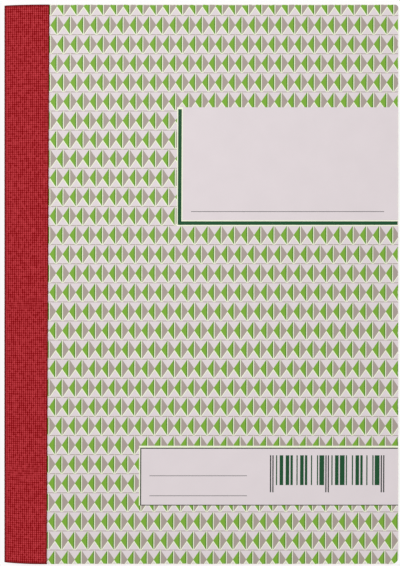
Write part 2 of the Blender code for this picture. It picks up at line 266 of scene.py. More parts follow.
# Studio light: world strength towards the horizon and overhead, and one wide lamp
WORLD_AT_HORIZON = 0.5
WORLD_OVERHEAD = 0.85
LAMP_POWER = 10.0
LAMP_SIZE = 1.2
LAMP_PLACE = (-0.55, 0.75, 1.3)

# Camera above the cover, with the picture's height and scale and the place at its middle
CAMERA_DISTANCE = 0.9
SENSOR_SIZE = 36.0
IMAGE_HEIGHT = 566
PIXELS_PER_MM = 2.666
CAMERA_X = -0.45 * MM
CAMERA_Y = 0.51 * MM


def linear(hex_colour):
    """Scene-linear red, green and blue of an sRGB hex colour."""
    channels = [int(hex_colour[at:at + 2], 16) / 255 for at in (1, 3, 5)]
    return tuple(c / 12.92 if c <= 0.04045 else ((c + 0.055) / 1.055) ** 2.4 for c in channels)


def colour_setting(name, description, hex_colour):
    """Colour that a user can change in the sidebar."""
    return bpy.props.FloatVectorProperty(name=name, description=description, subtype="COLOR",
                                         size=3, min=0.0, max=1.0, default=linear(hex_colour))


def size_setting(name, description, millimetres):
    """Length that a user can change in the sidebar."""
    return bpy.props.FloatProperty(name=name, description=description, unit="LENGTH",
                                   min=0.0, precision=5, default=millimetres * MM)


class CopyBookPrint(bpy.types.PropertyGroup):
    """Print on the front cover and the ruling of the leaves."""

    motif_width: size_setting("Lozenge width", "Width of one lozenge of the cover's print", 4.95)
    motif_height: size_setting("Lozenge height", "Height of one lozenge", 7.16)
    register_line: size_setting("Register line", "Unprinted line between two inks", 0.28)
    ruling: size_setting("Ruling", "Side of one square of the leaves' ruling", 5.0)
    ground: colour_setting("Ground", "Pale ground of the cover", "#DFD5D8")
    green: colour_setting("Green", "Leaf green of the lozenges", "#7AAB36")
    olive: colour_setting("Olive", "Dark edge where the green overprints the grey", "#56852A")
    grey: colour_setting("Grey", "Warm grey of the lozenges", "#A89C94")
    cream: colour_setting("Cream", "Unprinted card between the inks", "#F2F7DC")
    dark_green: colour_setting("Dark green", "Frame line and bars", "#0F4A28")
    black: colour_setting("Black", "Thin bars and rules", "#232B27")


class CopyBookCloth(bpy.types.PropertyGroup):
    """Cloth tape round the spine."""

    warp_spacing: size_setting("Warp spacing", "Distance between threads along the spine", 0.75)
    weft_spacing: size_setting("Weft spacing", "Distance between threads across the tape", 0.85)
    relief: size_setting("Relief", "Height of the threads above the gaps", 0.11)
    # The pale thread red is a painted highlight on the crests of the weave, and the deep gap red a
    # painted shade between the threads
    thread: colour_setting("Thread", "Pale red of the highest threads", "#D0464E")
    gap: colour_setting("Gap", "Deep red between the threads", "#820006")
    # Edge red: partly glue-darkened cut edges and partly painted shade, and painted shade at the
    # folds
    edge: colour_setting("Edge", "Dull red of cut and folded edges", "#600A0E")


class CopyBookPaper(bpy.types.PropertyGroup):
    """Leaves, boards and wire."""

    white: colour_setting("White leaf", "Top leaf of a set", "#F3F2EC")
    yellow: colour_setting("Yellow leaf", "Middle leaf of a set", "#F1DF86")
    pink: colour_setting("Pink leaf", "Bottom leaf of a set", "#EFB3B8")
    ruling_ink: colour_setting("Ruling ink", "Blue-grey ink of the squares", "#8E9CC0")
    card: colour_setting("Card", "Unprinted inside of the front cover", "#E9E5DB")
    board: colour_setting("Grey board", "Back cover", "#A39C92")
    manila: colour_setting("Manila", "Writing shield", "#D3C19B")
    steel: colour_setting("Steel", "Staple wire", "#C9C9C6")
    floor: colour_setting("Floor", "Pale floor under the book", "#FAFAFA")


def add_node(tree, kind, inputs=(), **settings):
    """Add a shader node with its settings and its inputs, in order or by socket, each a value or
    another node's output, and return its first live output."""
    node = tree.nodes.new("ShaderNode" + kind)
    for name, value in settings.items():
        setattr(node, name, value)
    for socket, value in inputs.items() if isinstance(inputs, dict) else enumerate(inputs):
        if isinstance(value, bpy.types.NodeSocket):
            tree.links.new(value, node.inputs[socket])
        else:
            node.inputs[socket].default_value = value
    return next((output for output in node.outputs if output.enabled), node)


def rgba(colour, share=1.0):
    """Value of a colour socket: a colour, or a darker or paler shade of it."""
    return (*(min(channel * share, 1.0) for channel in colour), 1.0)


def new_material(name):
    """Material, with the function that adds its nodes and with its shader."""
    surface = bpy.data.materials.new(name)
    surface.use_nodes = True
    tree = surface.node_tree
    return surface, partial(add_node, tree), tree.nodes["Principled BSDF"]


def link_finish(shader, colour, rough, relief):
    """Link a material's colour, roughness and relief to its shader."""
    links = shader.id_data.links
    for socket, value in (("Base Color", colour), ("Roughness", rough), ("Normal", relief)):
        links.new(value, shader.inputs[socket])


def sheet_place(add):
    """Place on the flat sheet, in millimetres from the middle of the book."""
    flat = add("UVMap", uv_map="flat_place")
    scaled = add("VectorMath", {0: flat, "Scale": 1 / MM}, operation="SCALE")
    split = add("SeparateXYZ", (scaled,)).node
    return scaled, split.outputs["X"], split.outputs["Y"]


def solid_place(add):
    """Place in a rigid piece, in millimetres."""
    local = add("TexCoord").node.outputs["Object"]
    return add("VectorMath", {0: local, "Scale": 1 / MM}, operation="SCALE")


def rectangle(add, x, y, left, right, bottom, top):
    """1 inside a rectangle of the sheet and 0 outside it."""
    inside = [add("Math", (along, (low + high) / 2, (high - low) / 2), operation="COMPARE")
              for along, low, high in ((x, left, right), (y, bottom, top))]
    return add("Math", inside, operation="MULTIPLY")


def clouded(add, place, base, shades, per_mm, detail):
    """Colour that drifts between two shades of itself, in clouds counted to the millimetre."""
    cloud = add("TexNoise", {"Vector": place, "Scale": per_mm, "Detail": detail})
    return add("Mix", {0: cloud, 6: rgba(base, shades[0]), 7: rgba(base, shades[1])},
               data_type="RGBA")


def finish_surface(add, shader, colour, place, grain, roughness, depth):
    """Colour, uneven roughness and fine relief, from one noise with a grain in millimetres."""
    fibres = add("TexNoise", {"Vector": place, "Scale": 1 / grain, "Detail": 4.0, "Roughness": 0.6})
    rough = add("MapRange", {0: fibres, 3: roughness[0], 4: roughness[1]})
    relief = add("Bump", {"Height": fibres, "Strength": 0.5, "Distance": depth * MM})
    link_finish(shader, colour, rough, relief)


def lozenges(add, inks, x, y):
    """Layers of lozenges in staggered rows, each green on its left and grey on its right."""
    width = inks.motif_width / MM
    height = inks.motif_height / MM
    line = inks.register_line / MM
    row = add("Math", (y, 1 / height, 0.5 + PRINT_SHIFT), operation="MULTIPLY_ADD")
    row_number = add("Math", (row,), operation="FLOOR")
    stagger = add("Math", (row_number, width / 2, x), operation="MULTIPLY_ADD")
    from_seam = add("Math", (stagger, width / 2), operation="PINGPONG")

    # Shape of a lozenge: 0 at its middle and 1 all along its outline
    middle = add("Math", (row, 0.5), operation="SUBTRACT")
    from_row = add("Math", (middle, 0.5), operation="PINGPONG")
    row_share = add("Math", (from_row, 2.0), operation="MULTIPLY")
    reach = add("Math", (from_seam, 2 / width, row_share), operation="MULTIPLY_ADD")
    lozenge = add("Math", (reach, LOZENGE_REACH), operation="LESS_THAN")

    # Green half, whose inner side is darker where it overprints the grey
    turn = add("Math", (stagger, 1 / width, 0.5), operation="MULTIPLY_ADD")
    column = add("Math", (turn,), operation="FRACT")
    left = add("Math", (column, 0.5), operation="LESS_THAN")
    green = add("Math", (lozenge, left), operation="MULTIPLY")
    start, end = (share * line for share in OVERPRINT)
    dark_side = add("Math", (from_seam, (start + end) / 2, (end - start) / 2), operation="COMPARE")
    olive = add("Math", (green, dark_side), operation="MULTIPLY")

    # Unprinted lines under the lower outline and along the seam, and a grey line between the rows
    half_line = math.hypot(2 / width, 2 / height) * line / 2
    edge = add("Math", (reach, LOZENGE_REACH + half_line, half_line), operation="COMPARE")
    level = add("Math", (row,), operation="FRACT")
    lower = add("Math", (level, 0.5), operation="LESS_THAN")
    edge = add("Math", (edge, lower), operation="MULTIPLY")
    seam = add("Math", (from_seam, line / 2), operation="LESS_THAN")
    seam = add("Math", (seam, lozenge), operation="MULTIPLY")
    row_line = add("Math", (from_row, 0.5, line / 2 / height), operation="COMPARE")
    return [(row_line, inks.grey), (edge, inks.cream), (lozenge, inks.grey),
            (green, inks.green), (olive, inks.olive), (seam, inks.cream)]


def panels(add, inks, x, y):
    """Layers of the writing panel with its frame line, and of the label with its rules and bars."""
    layers = [(rectangle(add, x, y, *box), getattr(inks, ink)) for box, ink in PRINTED_BOXES]
    for left, right, bottom in WRITING_RULES:
        rule = rectangle(add, x, y, left, right, bottom, bottom + WRITING_RULE_WIDTH)
        layers.append((rule, inks.black))
    layers.append((bars(add, x, y), inks.dark_green))
    for number in LONG_BARS:
        start = BARS_LEFT + number * BAR_MODULE
        bar = rectangle(add, x, y, start, start + BAR_MODULE, LONG_BARS_BOTTOM, BARS_TOP)
        layers.append((bar, inks.black))
    return layers


def bars(add, x, y):
    """Upright bars of uneven widths that stand for nothing."""
    from_left = add("Math", (x, BARS_LEFT), operation="SUBTRACT")
    module = add("Math", (from_left, BAR_MODULE), operation="DIVIDE")
    module = add("Math", (module,), operation="FLOOR")
    turn = add("Math", (module, BAR_TURN), operation="MULTIPLY")
    sway = add("Math", (turn,), operation="SINE")
    sway = add("Math", (sway, BAR_SWAY), operation="MULTIPLY")
    step = add("Math", (module, BAR_STEP, sway), operation="MULTIPLY_ADD")
    step = add("Math", (step,), operation="FRACT")
    inked = add("Math", (step, 0.5), operation="LESS_THAN")
    fields = [rectangle(add, x, y, BARS_LEFT + first * BAR_MODULE, BARS_LEFT + last * BAR_MODULE,
                        BARS_BOTTOM, BARS_TOP) for first, last in BAR_FIELDS]
    field = add("Math", fields, operation="ADD")
    return add("Math", (inked, field), operation="MULTIPLY")


def worn_edges(add, place, x, y):
    """Trimmed edges where the ink has rubbed off, in a thin uneven line."""
    to_side = add("Math", (FORE_X / MM, x), operation="SUBTRACT")
    along = add("Math", (y,), operation="ABSOLUTE")
    to_end = add("Math", (HEAD_Y / MM, along), operation="SUBTRACT")
    to_edge = add("Math", (to_side, to_end), operation="MINIMUM")
    rubbing = add("TexNoise", {"Vector": place, "Scale": 0.7, "Detail": 4.0})
    reach = add("MapRange", (rubbing, *WORN_NOISE, *WORN_WIDTH))
    return add("Math", (to_edge, reach), operation="LESS_THAN")


def printed_card():
    """Coated card with offset print: flat inks, crisp register lines and a soft sheen."""
    inks = bpy.context.scene.copy_book_print
    surface, add, shader = new_material("printed_card")
    place, x, y = sheet_place(add)
    worn = (worn_edges(add, place, x, y), bpy.context.scene.copy_book_paper.card)
    x = add("Math", (y, -PRINT_LEAN, x), operation="MULTIPLY_ADD")
    colour = rgba(inks.ground)
    for mask, ink in (*lozenges(add, inks, x, y), *panels(add, inks, x, y), worn):
        colour = add("Mix", {0: mask, 6: colour, 7: rgba(ink)}, data_type="RGBA")
    mottle = add("TexNoise", {"Vector": place, "Scale": 0.12, "Detail": 5.0})
    tone = add("MapRange", {0: mottle, 3: PRINT_TONE[0], 4: PRINT_TONE[1]})
    colour = add("VectorMath", {0: colour, "Scale": tone}, operation="SCALE")
    finish_surface(add, shader, colour, place, grain=0.5, roughness=(0.38, 0.52), depth=0.004)
    shader.inputs["Specular IOR Level"].default_value = 0.2
    return surface


def plain_card():
    """Uncoated card: matt, slightly warm, with soft fibres."""
    surface, add, shader = new_material("plain_card")
    place = sheet_place(add)[0]
    colour = clouded(add, place, bpy.context.scene.copy_book_paper.card, (0.92, 1.04),
                     per_mm=0.4, detail=6.0)
    finish_surface(add, shader, colour, place, grain=0.35, roughness=(0.72, 0.88), depth=0.01)
    return surface


def grey_board():
    """Grey board of pressed waste paper: rough, warm grey, with pale and dark specks."""
    surface, add, shader = new_material("grey_board")
    place = sheet_place(add)[0]
    base = bpy.context.scene.copy_book_paper.board
    colour = clouded(add, place, base, (0.85, 1.12), per_mm=0.15, detail=8.0)
    specks = add("TexNoise", {"Vector": place, "Scale": 1.4, "Detail": 3.0})
    for side, limit, share in (("GREATER_THAN", 0.66, 1.35), ("LESS_THAN", 0.34, 0.6)):
        mask = add("Math", (specks, limit), operation=side)
        colour = add("Mix", {0: mask, 6: colour, 7: rgba(base, share)}, data_type="RGBA")
    finish_surface(add, shader, colour, place, grain=0.6, roughness=(0.80, 0.95), depth=0.03)
    return surface


def leaf_paper(name, base, ruled):
    """Carbonless paper: smooth and matt, faintly cloudy, ruled in squares on its writing side."""
    surface, add, shader = new_material(name)
    place, x, y = sheet_place(add)
    colour = clouded(add, place, base, (0.95, 1.03), per_mm=0.2, detail=6.0)
    if ruled:
        pitch = bpy.context.scene.copy_book_print.ruling / MM
        field = rectangle(add, x, y, RULED_LEFT, RULED_RIGHT, -RULED_END, RULED_END)
        ink = rgba(bpy.context.scene.copy_book_paper.ruling_ink)
        for along in (x, y):
            near = add("Math", (along, pitch / 2), operation="PINGPONG")
            rule = add("Math", (near, RULE_WIDTH / 2), operation="LESS_THAN")
            mask = add("Math", (rule, field), operation="MULTIPLY")
            colour = add("Mix", {0: mask, 6: colour, 7: ink}, data_type="RGBA")
    finish_surface(add, shader, colour, place, grain=0.3, roughness=(0.62, 0.78), depth=0.004)
    return surface


def thread_spacings(cloth):
    """Distances between threads that fit the tape's girth and length a whole number of times."""
    return (TAPE_GIRTH / round(TAPE_GIRTH / cloth.warp_spacing),
            BOOK_LENGTH / round(BOOK_LENGTH / cloth.weft_spacing))


def weave(add, spacings, place, slub, x, y):
    """Share of the painted highlight on the threads' crests: high where two threads cross, low in the
    painted shade of the gaps.
    """
    crests = []
    for along, spacing in zip((x, y), spacings):
        half = spacing / MM / 2
        from_crest = add("Math", (along, half), operation="PINGPONG")
        crests.append(add("MapRange", (from_crest, 0.0, half, 1.0, 0.0),
                          interpolation_type="SMOOTHSTEP"))
    crossing = add("Math", crests, operation="MULTIPLY")
    share = add("Math", (crossing, CROSSING_SHARE), operation="MULTIPLY")
    for crest, weight in zip(crests, (WARP_SHARE, WEFT_SHARE)):
        share = add("Math", (crest, weight, share), operation="MULTIPLY_ADD")

    # Thicker and thinner yarn, and crossings that took the dye differently
    uneven = add("MapRange", {0: slub, 3: -SLUB_SWAY, 4: SLUB_SWAY})
    knot = add("VectorMath", (place, (*(s / MM for s in spacings), 1.0)), operation="SNAP")
    dye = add("TexWhiteNoise", {"Vector": knot})
    dye = add("MapRange", {0: dye, 3: -KNOT_SWAY, 4: KNOT_SWAY})
    sway = add("Math", (uneven, dye), operation="ADD")
    return add("Math", (share, sway), operation="ADD", use_clamp=True)


def fold_distance(add):
    """Distance in millimetres from the two folds, found by place on the finished spine."""
    placed = add("TexCoord").node.outputs["Object"]
    split = add("SeparateXYZ", (placed,)).node
    height = add("Math", (split.outputs["Z"], MIDDLE_Z), operation="SUBTRACT")
    height = add("Math", (height,), operation="ABSOLUTE")
    section = add("CombineXYZ", {"X": split.outputs["X"], "Z": height})
    fold = tape_point(TAPE_STRAIGHT + FOLD_PLACE * TAPE_ROUND, 0.0)
    distance = add("VectorMath", (section, (fold.x, 0.0, MIDDLE_Z - fold.y)), operation="DISTANCE")
    return add("Math", (distance, MM), operation="DIVIDE")


def book_cloth():
    """Plain-woven cotton book cloth, starched and dyed red: dull threads with a painted highlight on
    their crests, over gaps in painted shade.
    """
    cloth = bpy.context.scene.copy_book_cloth
    surface, add, shader = new_material("red_book_cloth")
    place, x, y = sheet_place(add)
    slub = add("TexNoise", {"Vector": place, "Scale": 0.9, "Detail": 5.0})
    share = weave(add, thread_spacings(cloth), place, slub, x, y)
    from_fold = fold_distance(add)
    # The weave's painted highlight and shade are evened out near the folds, under the painted fold
    # shade
    evened_at_fold = add("MapRange", (from_fold, *FOLD_EVENING_REACH, FOLD_EVENING_SHARE, 0.0))
    share = add("Mix", {0: evened_at_fold, 2: share, 3: 0.5})
    # Painted highlight on the crests and painted shade in the gaps of the weave
    colour = add("Mix", {0: share, 6: rgba(cloth.gap), 7: rgba(cloth.thread)}, data_type="RGBA")

    # Darker where the cloth is cut, partly glue-darkened edges and partly painted shade, and painted
    # shade where it is folded round the edges of the spine
    from_side = add("Math", (x, TAPE_GIRTH / 2 / MM), operation="PINGPONG")
    along = add("Math", (y,), operation="ABSOLUTE")
    from_end = add("Math", (HEAD_Y / MM, along), operation="SUBTRACT")
    for distance, (reach, most) in ((from_side, SIDE_SHADE), (from_end, END_SHADE),
                                    (from_fold, FOLD_SHADE)):
        shade = add("MapRange", {0: distance, 2: reach, 3: most, 4: 0.0},
                    interpolation_type="SMOOTHSTEP")
        colour = add("Mix", {0: shade, 6: colour, 7: rgba(cloth.edge)}, data_type="RGBA")

    yarn = add("TexNoise", {"Vector": place, "Scale": 6.0, "Detail": 3.0})
    relief = add("Bump", {"Height": yarn, "Strength": 0.4, "Distance": YARN_DEPTH})
    rough = add("MapRange", {0: slub, 3: 0.70, 4: 0.90})
    link_finish(shader, colour, rough, relief)
    shader.inputs["Specular IOR Level"].default_value = 0.05
    return surface


def manila_card():
    """Manila card: buff, matt and fibrous, calendered a little smooth."""
    surface, add, shader = new_material("manila_card")
    place = solid_place(add)
    colour = clouded(add, place, bpy.context.scene.copy_book_paper.manila, (0.86, 1.1),
                     per_mm=0.5, detail=8.0)
    finish_surface(add, shader, colour, place, grain=0.4, roughness=(0.70, 0.86), depth=0.012)
    return surface


def staple_wire():
    """Drawn steel wire, zinc plated: bright, and unevenly dulled."""
    surface, add, shader = new_material("staple_wire")
    place = solid_place(add)
    colour = clouded(add, place, bpy.context.scene.copy_book_paper.steel, (0.8, 1.0),
                     per_mm=3.0, detail=4.0)
    finish_surface(add, shader, colour, place, grain=0.1, roughness=(0.22, 0.42), depth=0.004)
    shader.inputs["Metallic"].default_value = 1.0
    return surface


def smooth(share):
    """Ease from 0 to 1."""
    share = min(max(share, 0.0), 1.0)
    return share * share * (3 - 2 * share)


def half_height(x):
    """Half the height of the bound strip, which narrows towards the spine."""
    share = (x - BLOCK_SPINE_X) / (TAPE_EDGE_X - BLOCK_SPINE_X)
    return HALF_AT_SPINE + share * (HALF_AT_TAPE_EDGE - HALF_AT_SPINE)


def bound_height(level, x):
    """Height of a level of the stack where the stitching squeezes it."""
    return MIDDLE_Z + (2 * level / BOUND_HEIGHT - 1) * half_height(x)


def rest_height(level, lift, x):
    """Height of a level in the closed book, for a sheet that the shield lifts beside the tape."""
    share = smooth((x - RISE_START_X) / RISE_RUN)
    bound = bound_height(level - lift, min(x, TAPE_EDGE_X + RISE_RUN))
    return bound + (level - bound) * share


def spine_end(bottom, top):
    """Where a layer between two bound levels ends at the spine, inside the rounded edges."""
    highest = max(abs(bound_height(level, ROUNDING_X) - MIDDLE_Z) for level in (bottom, top))
    rise = highest - (ROUNDING_Z - MIDDLE_Z)
    if rise <= 0:
        return BLOCK_SPINE_X
    return ROUNDING_X - math.sqrt(max(SPINE_ROUNDING ** 2 - rise ** 2, 0.0))


def add_plane(name, low_x, high_x, low_y, high_y):
    """Flat rectangle at its place, the start of every sheet of the book."""
    bpy.ops.object.select_all(action="DESELECT")
    middle = ((low_x + high_x) / 2, (low_y + high_y) / 2, 0.0)
    bpy.ops.mesh.primitive_plane_add(size=1.0, location=middle)
    sheet = bpy.context.active_object
    sheet.name = name
    sheet.data.name = name
    sheet.scale = (high_x - low_x, high_y - low_y, 1.0)
    bpy.ops.object.transform_apply()
    return sheet


def round_corner(sheet, corner, radius, segments):
    """In edit mode, round the corner of a flat sheet nearest to a place."""
    shape = bmesh.from_edit_mesh(sheet.data)
    bpy.ops.mesh.select_mode(type="VERT")
    bpy.ops.mesh.select_all(action="DESELECT")
    nearest = min(shape.verts, key=lambda point: (point.co - corner).length)
    nearest.select_set(True)
    shape.select_flush(True)
    bmesh.update_edit_mesh(sheet.data)
    bpy.ops.mesh.bevel(offset=radius, segments=segments, affect="VERTICES", profile=0.5)


def cut_columns(sheet, places):
    """In edit mode, cut a flat sheet along lines that run from head to foot."""
    for x in places:
        bpy.ops.mesh.select_all(action="SELECT")
        bpy.ops.mesh.bisect(plane_co=(x, 0.0, 0.0), plane_no=(1.0, 0.0, 0.0), threshold=1e-6)


def pull_columns():
    """Places beside the spine, where the head and the foot pull in."""
    return [BLOCK_SPINE_X + step for step in PULL_COLUMNS]


def bend_columns():
    """Places across the bend, where a turning sheet needs its columns close together."""
    count = round((BEND_END_X - BEND_START_X) / BEND_STEP)
    places = pull_columns() + [TAPE_EDGE_X, RISE_START_X]
    places += [BEND_START_X + BEND_STEP * step for step in range(count + 1)]
    return places


def keep_flat_place(sheet):
    """Store each corner's place on the flat sheet, for the print and the ruling."""
    layer = sheet.data.uv_layers.get("flat_place") or sheet.data.uv_layers.new(name="flat_place")
    for other in [item for item in sheet.data.uv_layers if item.name != layer.name]:
        sheet.data.uv_layers.remove(other)
    for loop in sheet.data.loops:
        place = sheet.data.vertices[loop.vertex_index].co
        layer.data[loop.index].uv = (place.x, place.y)


def select_only(*pieces):
    """Select these pieces alone, with the first one active."""
    bpy.ops.object.select_all(action="DESELECT")
    for piece in pieces:
        piece.select_set(True)
    bpy.context.view_layer.objects.active = pieces[0]


def apply_modifier(sheet, kind, **settings):
    """Add a modifier with its settings and apply it."""
    select_only(sheet)
    modifier = sheet.modifiers.new(kind.title(), kind)
    for name, value in settings.items():
        setattr(modifier, name, value)
    bpy.ops.object.modifier_apply(modifier=modifier.name)


def flat_sheet(name, low_x, columns, thickness, corner_segments):
    """Sheet with round corners at the fore edge, lying flat with its underside at no height."""
    sheet = add_plane(name, low_x, FORE_X, FOOT_Y, HEAD_Y)
    bpy.ops.object.mode_set(mode="EDIT")
    round_corner(sheet, Vector((FORE_X, HEAD_Y, 0.0)), HEAD_CORNER, corner_segments)
    round_corner(sheet, Vector((FORE_X, FOOT_Y, 0.0)), FOOT_CORNER, corner_segments)
    cut_columns(sheet, columns)
    bpy.ops.object.mode_set(mode="OBJECT")
    apply_modifier(sheet, "SOLIDIFY", thickness=thickness, offset=1.0)
    return sheet


def trimmed(x, y):
    """Place along the spine once the head and the foot are pulled in beside the spine."""
    share = min(max((BLOCK_SPINE_X + PULL_REACH - x) / PULL_REACH, 0.0), 1.0)
    pull = HEAD_PULL if y > 0 else FOOT_PULL
    return y * (1 - share * share * pull / HEAD_Y)


def lay_in_stack(sheet, level, thickness, lift):
    """Give a flat sheet the place that it has in the closed book."""
    for point in sheet.data.vertices:
        point.co.y = trimmed(point.co.x, point.co.y)
        point.co.z = rest_height(level + min(max(point.co.z, 0.0), thickness), lift, point.co.x)


def dress_sides(sheet, upper, lower, edge):
    """Give the upper side, the lower side and the cut edges their own surfaces."""
    sheet.data.materials.clear()
    for surface in (upper, lower, edge):
        sheet.data.materials.append(surface)
    for face in sheet.data.polygons:
        if abs(face.normal.z) < 0.5:
            face.material_index = 2
        else:
            face.material_index = 0 if face.normal.z > 0 else 1


def smooth_bends(sheet, degrees):
    """Smooth shading across the bends, with the real edges kept sharp."""
    select_only(sheet)
    bpy.ops.object.shade_smooth_by_angle(angle=math.radians(degrees))


def turning_sheet(name, low_z, high_z, lift, sides, work, corner_segments):
    """Sheet from under the tape to the fore edge, worked on while flat and then laid in place."""
    thickness = high_z - low_z
    start = spine_end(low_z - lift, high_z - lift)
    sheet = flat_sheet(name, start, bend_columns(), thickness, corner_segments)
    if work:
        work(sheet)
    keep_flat_place(sheet)
    lay_in_stack(sheet, low_z, thickness, lift)
    dress_sides(sheet, *sides)
    smooth_bends(sheet, degrees=40)
    return sheet


def soften_edges(card):
    """Round the cut edges of a thick card a little."""
    apply_modifier(card, "BEVEL", width=0.05 * MM, segments=2, limit_method="ANGLE",
                   angle_limit=math.radians(60))


class COPYBOOK_OT_front_cover(bpy.types.Operator):
    """Printed card from under the tape to the fore edge, with close columns where the cover folds
    open beside the tape
    """

    bl_idname = "copybook.front_cover"
    bl_label = "Front cover"

    def execute(self, context):
        inside = plain_card()
        cover = turning_sheet("front_cover_card", COVER_LOW.z, COVER_HIGH.z, SHIELD_STEP,
                              (printed_card(), inside, inside), soften_edges, corner_segments=10)
        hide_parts("front_cover", "front_cover_bound_strip")
        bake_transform(cover)
        return {"FINISHED"}


class COPYBOOK_OT_back_cover(bpy.types.Operator):
    """Grey board from under the tape to the fore edge, with close columns where the cover folds open
    beside the tape
    """

    bl_idname = "copybook.back_cover"
    bl_label = "Back cover"

    def execute(self, context):
        board = grey_board()
        cover = turning_sheet("back_cover_board", BOARD_LOW.z, BOARD_HIGH.z, 0.0,
                              (board, board, board), soften_edges, corner_segments=10)
        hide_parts("back_cover", "back_cover_bound_strip")
        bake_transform(cover)
        return {"FINISHED"}


def perforate(leaf):
    """Cut the tear line: a row of slits along the leaf with paper ties between them."""
    low_y = PERFORATION_END + FOOT_Y
    count = int((BOOK_LENGTH - 2 * PERFORATION_END) / SLIT_STEP)
    bpy.ops.object.select_all(action="DESELECT")
    place = (PERFORATION_X, low_y + SLIT_LENGTH / 2, 0.0)
    bpy.ops.mesh.primitive_cube_add(size=1.0, location=place)
    slits = bpy.context.active_object
    slits.scale = (SLIT_WIDTH, SLIT_LENGTH, MM)
    bpy.ops.object.transform_apply()
    apply_modifier(slits, "ARRAY", count=count, use_relative_offset=False,
                   use_constant_offset=True, constant_offset_displace=(0.0, SLIT_STEP, 0.0))
    apply_modifier(leaf, "BOOLEAN", operation="DIFFERENCE", solver="EXACT", object=slits)
    bpy.data.objects.remove(slits, do_unlink=True)


class COPYBOOK_OT_top_leaves(bpy.types.Operator):
    """White, yellow and pink leaves of the set in use"""

    bl_idname = "copybook.top_leaves"
    bl_label = "Top set"

    def execute(self, context):
        paper = context.scene.copy_book_paper
        for colour, box, work in (("white", WHITE_LOW, perforate),
                                  ("yellow", YELLOW_LOW, perforate), ("pink", PINK_LOW, None)):
            base = getattr(paper, colour)
            ruled = leaf_paper(f"{colour}_ruled_paper", base, True)
            plain = leaf_paper(f"{colour}_plain_paper", base, False)
            # The cut-edge surface is the leaf colour paled by painted light
            cut = leaf_paper(f"{colour}_cut_paper", [c + (1 - c) * CUT_EDGE_PAINTED_LIGHT for c in base],
                             False)
            leaf = turning_sheet(f"top_{colour}_leaf", box.z, box.z + LEAF_THICKNESS, SHIELD_STEP,
                                 (ruled, plain, cut), work, corner_segments=6)
            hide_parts(f"set_01_{colour}_leaf", "set_01_bound_strip")
            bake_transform(leaf)
        return {"FINISHED"}


def lower_leaf(pattern, low_z, rng):
    """Copy of the pattern leaf at its level, trimmed a hair unevenly as a real block is."""
    leaf = pattern.copy()
    leaf.data = pattern.data.copy()
    bpy.context.collection.objects.link(leaf)
    fore_trim = rng.uniform(0.0, FORE_TRIM) * MM
    end_trim = 1 - rng.uniform(0.0, END_TRIM) * MM / HEAD_Y
    thickness = min(PRESSED_THICKNESS, SHIELD_LOW.z - LEAF_GAP - low_z)
    start = spine_end(low_z, low_z + thickness)
    for point in leaf.data.vertices:
        if point.co.x > TAPE_EDGE_X:
            point.co.x -= fore_trim * smooth((point.co.x - TAPE_EDGE_X) / (FORE_X - TAPE_EDGE_X))
        elif point.co.x < BLOCK_SPINE_X + SPINE_REACH:
            point.co.x = start
        point.co.y *= end_trim
    lay_in_stack(leaf, low_z, thickness, 0.0)
    return leaf


def join_leaves(name, leaves):
    """Make one object of the leaves of one colour."""
    select_only(*leaves)
    if len(leaves) > 1:
        bpy.ops.object.join()
    joined = leaves[0]
    joined.name = name
    joined.data.name = name
    return joined


class COPYBOOK_OT_lower_leaves(bpy.types.Operator):
    """Leaves of the sets under the writing shield"""

    bl_idname = "copybook.lower_leaves"
    bl_label = "Lower sets"

    def execute(self, context):
        rng = random.Random(TRIM_SEED)
        columns = pull_columns() + [TAPE_EDGE_X + RISE_RUN * share for share in (0.0, 0.5, 1.0)]
        for order, colour in enumerate(("pink", "yellow", "white")):
            pattern = flat_sheet(f"{colour}_pattern", BLOCK_SPINE_X, columns, PRESSED_THICKNESS,
                                 corner_segments=4)
            keep_flat_place(pattern)
            dress_sides(pattern, *[bpy.data.materials[f"{colour}_{side}_paper"]
                                   for side in ("ruled", "plain", "cut")])
            levels = [BLOCK_BOTTOM + order * LEAF_PITCH + number * SET_PITCH
                      for number in range(LOWER_SET_COUNT)]
            leaves = [lower_leaf(pattern, level, rng) for level in levels]
            bpy.data.objects.remove(pattern, do_unlink=True)
            if colour == "white":
                top_leaf = join_leaves("second_white_leaf", leaves[-1:])
                leaves = leaves[:-1]
                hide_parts("set_02")
                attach(top_leaf, "bound_block")
            joined = join_leaves(f"lower_{colour}_leaves", leaves)
            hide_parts(*LOWER_SET_NODES)
            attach(joined, "bound_block")
        return {"FINISHED"}


class COPYBOOK_OT_writing_shield(bpy.types.Operator):
    """Manila card that lies loose under the set in use"""

    bl_idname = "copybook.writing_shield"
    bl_label = "Writing shield"

    def execute(self, context):
        dress_node("writing_shield", manila_card())
        return {"FINISHED"}


class COPYBOOK_OT_staples(bpy.types.Operator):
    """Two wire staples under the tape"""

    bl_idname = "copybook.staples"
    bl_label = "Staples"

    def execute(self, context):
        wire = staple_wire()
        dress_node("head_staple", wire)
        dress_node("foot_staple", wire)
        return {"FINISHED"}


def dress_node(name, surface):
    """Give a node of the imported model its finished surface."""
    node = frame["nodes"][name]
    if not node.material_slots:
        node.data.materials.append(surface)
    for slot in node.material_slots:
        slot.material = surface


